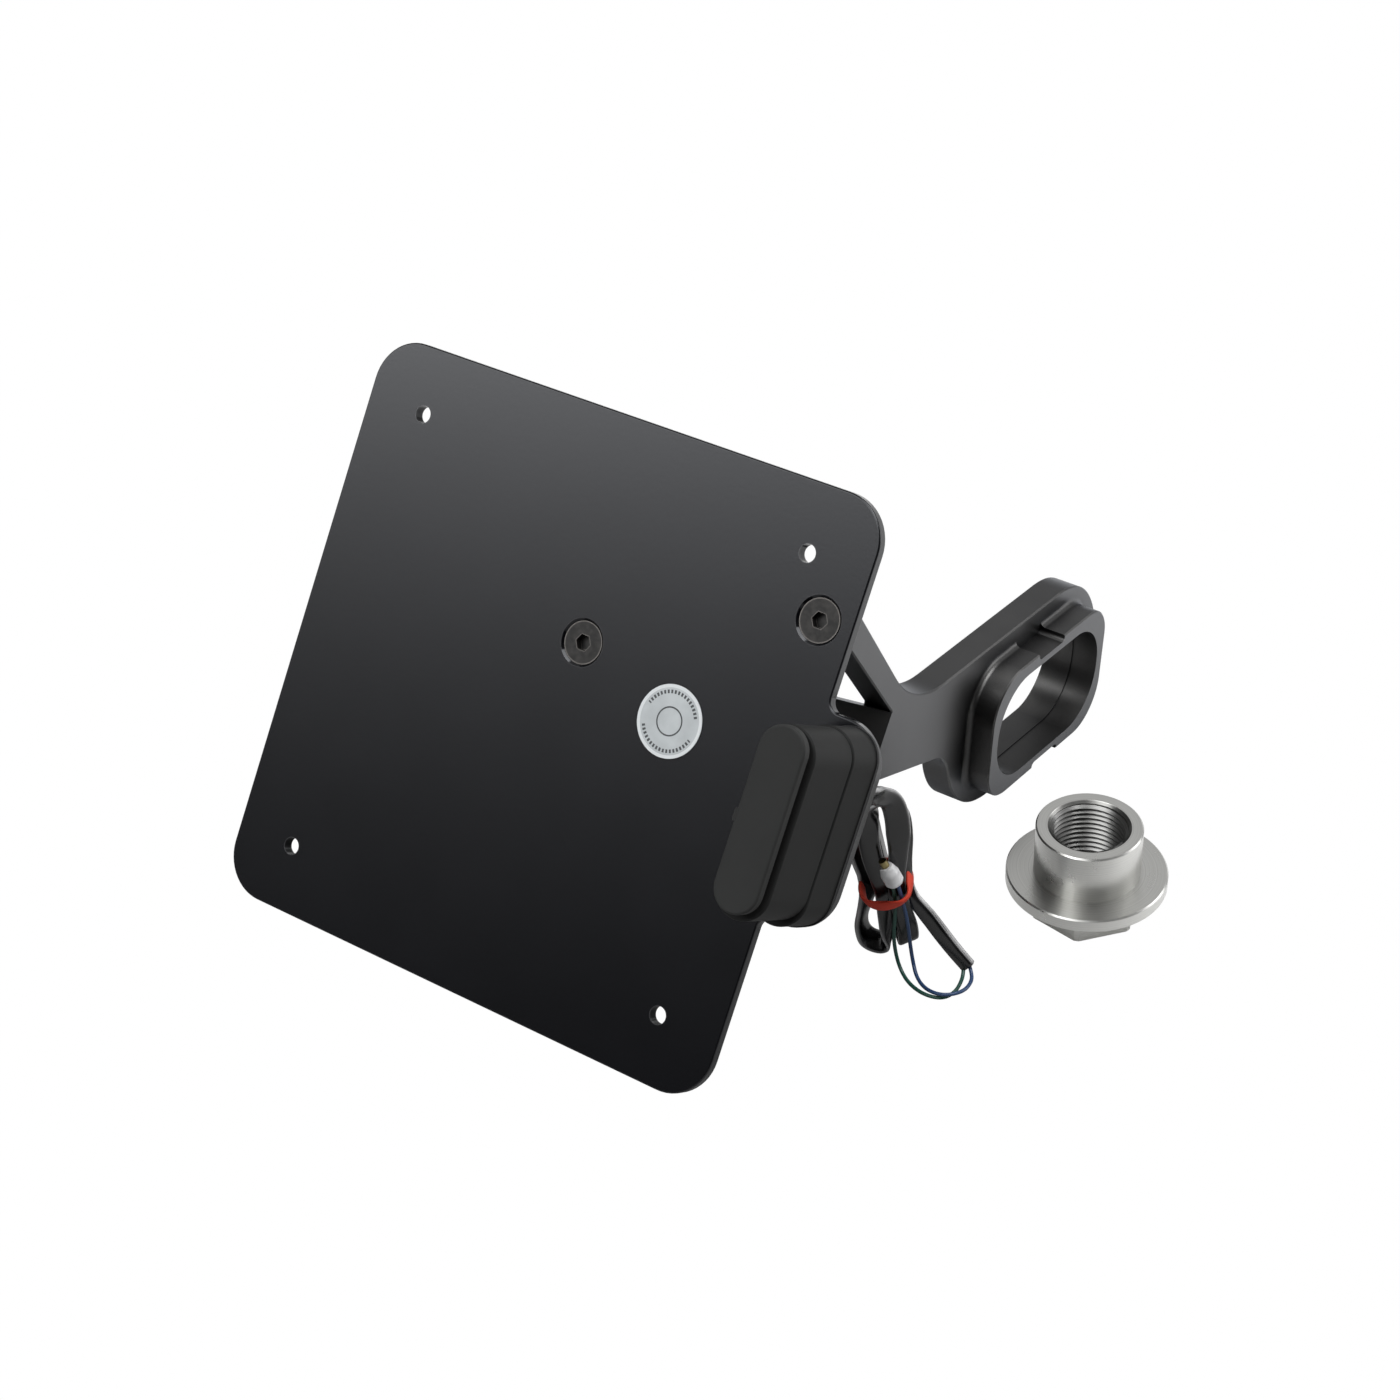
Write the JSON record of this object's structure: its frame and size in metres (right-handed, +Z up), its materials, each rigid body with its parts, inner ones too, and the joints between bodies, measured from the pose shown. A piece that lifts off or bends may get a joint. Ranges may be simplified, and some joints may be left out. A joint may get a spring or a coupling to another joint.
{
  "type": "side mount license plate holder",
  "caption": "Side-mount motorcycle plate holder: a plate with side light on a milled bracket whose slotted boss clamps at the wheel axle, with coiled lead and loose flanged nut.",
  "frame": {"origin": "middle of the axle slot, on the flat clamp face of the boss", "axes": "+X out of the clamp face along the wheel axle, +Y to the back of the holder, +Z up with the holder lying on its plate's lower edge and the ring"},
  "size_m": [0.282, 0.2664, 0.1713],
  "materials": {
    "plate_paint": "fine-textured satin black coat",
    "bracket_black": "bead-blasted dark grey anodised",
    "screw_black": "black oxide",
    "disc_foil": "satin silver foil",
    "gasket_rubber": "matt",
    "light_black": "fine-grained matt",
    "lens_clear": "clear moulded",
    "board_green": "solder mask",
    "led_white": "clear domed",
    "fixing_steel": "plain stainless",
    "lead_sleeve": "soft shiny sleeve",
    "band_red": "matt",
    "wire_green_skin": "satin",
    "wire_blue_skin": "satin",
    "connector_white": "soft translucent",
    "terminal_brass": "plain",
    "nut_steel": "fine-turned, bright"
  },
  "bodies": {
    "root": {"base_plate": "plate_paint", "bracket": "bracket_black", "plate_screws": "screw_black", "info_disc": "disc_foil", "light_gasket": "gasket_rubber", "light_base": "light_black", "light_body": "light_black", "light_cap": "light_black", "plate_lens": "lens_clear", "light_board": "board_green", "light_leds": "led_white", "light_fixings": "fixing_steel", "fixing_washers": "fixing_steel", "cable_grommet": "gasket_rubber", "lead": "lead_sleeve", "lead_hank": "lead_sleeve", "rubber_band": "band_red", "sleeve_end": "lead_sleeve", "wire_green": "wire_green_skin", "wire_blue": "wire_blue_skin", "connector_shell": "connector_white", "connector_terminal": "terminal_brass", "axle_nut": "nut_steel"}
  },
  "joints": []
}
